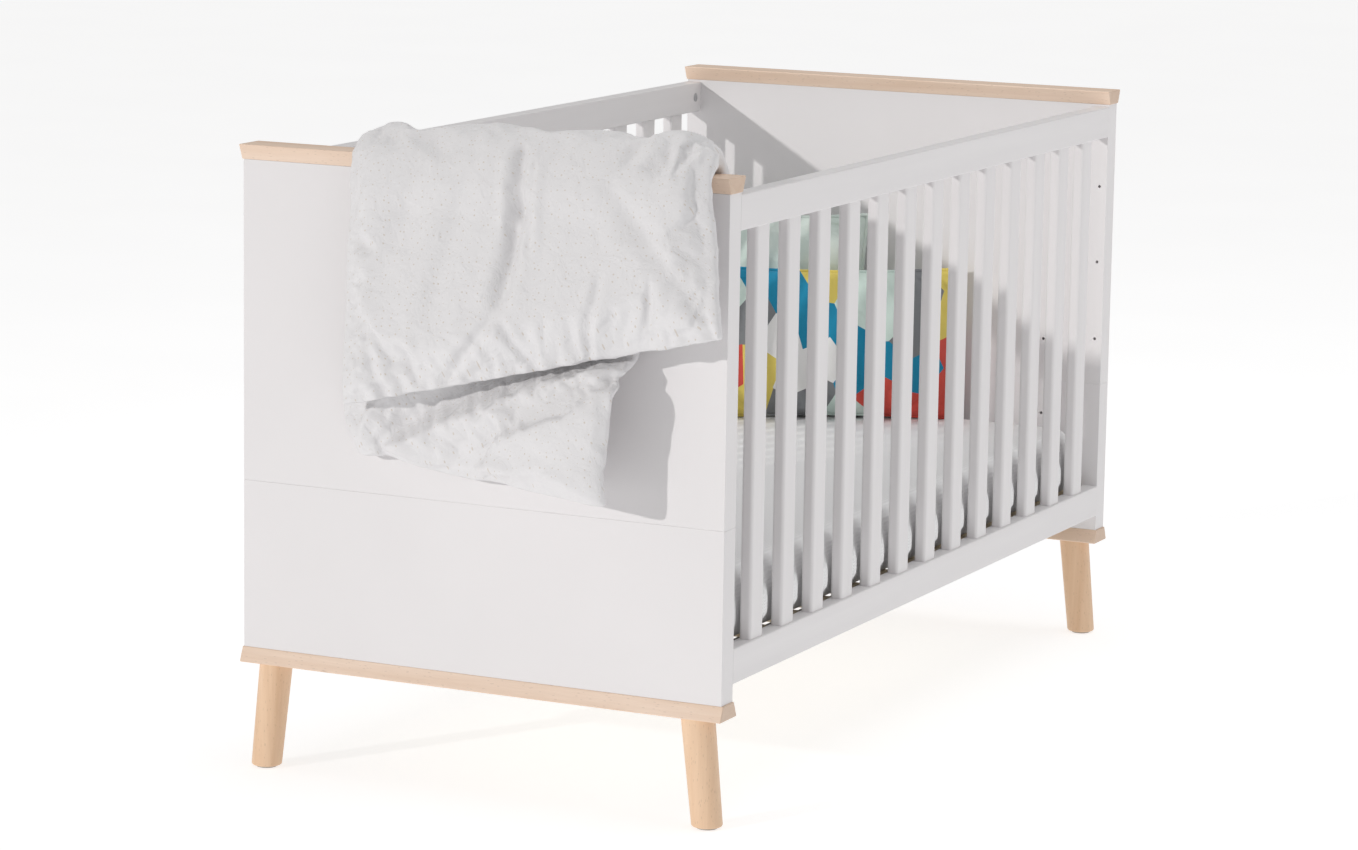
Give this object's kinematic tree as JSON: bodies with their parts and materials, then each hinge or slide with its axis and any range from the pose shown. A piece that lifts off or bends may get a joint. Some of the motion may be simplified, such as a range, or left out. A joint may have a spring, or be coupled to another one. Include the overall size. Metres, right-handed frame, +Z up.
{
  "type": "baby crib",
  "caption": "White baby crib with solid end boards on splayed beech legs, slatted sides, a height-adjustable base, mattress, cushions and a duvet over the foot end.",
  "frame": {"origin": "on the floor, midway between the four feet", "axes": "+X towards the side with the slip bars, +Y from the foot end to the head end, +Z up"},
  "size_m": [0.7905, 1.5823, 0.95],
  "materials": {
    "white_lacquer": "satin white lacquer on board",
    "white_lacquered_beech": "satin white lacquer on solid beech",
    "oiled_beech": "clear oiled solid beech, fine grain",
    "anthracite_lacquer": "matt dark lacquer on a wooden frame",
    "birch_plywood": "sanded birch plywood",
    "zinc_steel": "bright zinc plate",
    "beech_dowel": "plain fluted beech",
    "glide_felt": "hard felt and plastic",
    "mattress_foam": "foam core in a knitted ticking",
    "sheet_jersey": "white waffle-knit cotton, matt",
    "duvet_cotton": "white cotton with a fine beige fleck, matt",
    "patchwork_cotton": "printed cotton in plain angular patches",
    "mint_cotton": "brushed cotton, pale mint"
  },
  "bodies": {
    "crib_frame": {"foot_panel_upper": "white_lacquer", "foot_panel_lower": "white_lacquer", "head_panel_upper": "white_lacquer", "head_panel_lower": "white_lacquer", "left_top_rail": "white_lacquered_beech", "left_bottom_rail": "white_lacquered_beech", "right_top_rail": "white_lacquered_beech", "right_bottom_rail": "white_lacquered_beech", "right_slat_01": "white_lacquered_beech", "right_slat_02": "white_lacquered_beech", "right_slat_03": "white_lacquered_beech", "right_slat_04": "white_lacquered_beech", "right_slat_05": "white_lacquered_beech", "right_slat_09": "white_lacquered_beech", "right_slat_10": "white_lacquered_beech", "right_slat_11": "white_lacquered_beech", "right_slat_12": "white_lacquered_beech", "right_slat_13": "white_lacquered_beech", "left_slat_01": "white_lacquered_beech", "left_slat_02": "white_lacquered_beech", "left_slat_03": "white_lacquered_beech", "left_slat_04": "white_lacquered_beech", "left_slat_05": "white_lacquered_beech", "left_slat_06": "white_lacquered_beech", "left_slat_07": "white_lacquered_beech", "left_slat_08": "white_lacquered_beech", "left_slat_09": "white_lacquered_beech", "left_slat_10": "white_lacquered_beech", "left_slat_11": "white_lacquered_beech", "left_slat_12": "white_lacquered_beech", "left_slat_13": "white_lacquered_beech", "foot_top_cap": "oiled_beech", "foot_bottom_rail": "oiled_beech", "head_top_cap": "oiled_beech", "head_bottom_rail": "oiled_beech", "leg_foot_left": "oiled_beech", "leg_foot_right": "oiled_beech", "leg_head_left": "oiled_beech", "leg_head_right": "oiled_beech", "base_brackets": "zinc_steel", "base_bracket_screws": "zinc_steel", "leg_studs": "zinc_steel", "rail_cam_pins": "zinc_steel", "rail_cam_locks": "zinc_steel", "panel_dowels": "beech_dowel", "leg_glides": "glide_felt", "slip_spring_1": "zinc_steel", "slip_spring_2": "zinc_steel", "slip_spring_3": "zinc_steel"},
    "bed_base": {"base_frame": "anthracite_lacquer", "base_slats": "birch_plywood", "base_pegs": "zinc_steel"},
    "bedded_mattress": {"mattress": "mattress_foam", "fitted_sheet": "sheet_jersey"},
    "front_cushion": {"patchwork_cushion": "patchwork_cotton"},
    "back_cushion": {"mint_cushion": "mint_cotton"},
    "hung_duvet": {"duvet": "duvet_cotton"},
    "slip_bar_1": {"slip_bar_1": "white_lacquered_beech"},
    "slip_bar_2": {"slip_bar_2": "white_lacquered_beech"},
    "slip_bar_3": {"slip_bar_3": "white_lacquered_beech"}
  },
  "joints": [
    {"name": "base_height", "type": "slide", "parent": "crib_frame", "child": "bed_base", "axis": [0, 0, 1], "range_m": [0, 0.25]},
    {"name": "mattress_lift", "type": "slide", "parent": "bed_base", "child": "bedded_mattress", "axis": [0, 0, 1], "range_m": [0, 0.26]},
    {"name": "front_cushion_lift", "type": "slide", "parent": "bedded_mattress", "child": "front_cushion", "axis": [0, 0, 1], "range_m": [0, 0.4]},
    {"name": "back_cushion_lift", "type": "slide", "parent": "bedded_mattress", "child": "back_cushion", "axis": [0, 0, 1], "range_m": [0, 0.4]},
    {"name": "duvet_lift", "type": "slide", "parent": "crib_frame", "child": "hung_duvet", "axis": [0, 0, 1], "range_m": [0, 0.35]},
    {"name": "slip_bar_1_lift", "type": "slide", "parent": "crib_frame", "child": "slip_bar_1", "axis": [0, 0, 1], "range_m": [0, 0.012], "stiffness_N_per_m": 900, "springref_m": -0.008, "deforming": ["slip_spring_1"]},
    {"name": "slip_bar_2_lift", "type": "slide", "parent": "crib_frame", "child": "slip_bar_2", "axis": [0, 0, 1], "range_m": [0, 0.012], "stiffness_N_per_m": 900, "springref_m": -0.008, "deforming": ["slip_spring_2"]},
    {"name": "slip_bar_3_lift", "type": "slide", "parent": "crib_frame", "child": "slip_bar_3", "axis": [0, 0, 1], "range_m": [0, 0.012], "stiffness_N_per_m": 900, "springref_m": -0.008, "deforming": ["slip_spring_3"]}
  ]
}
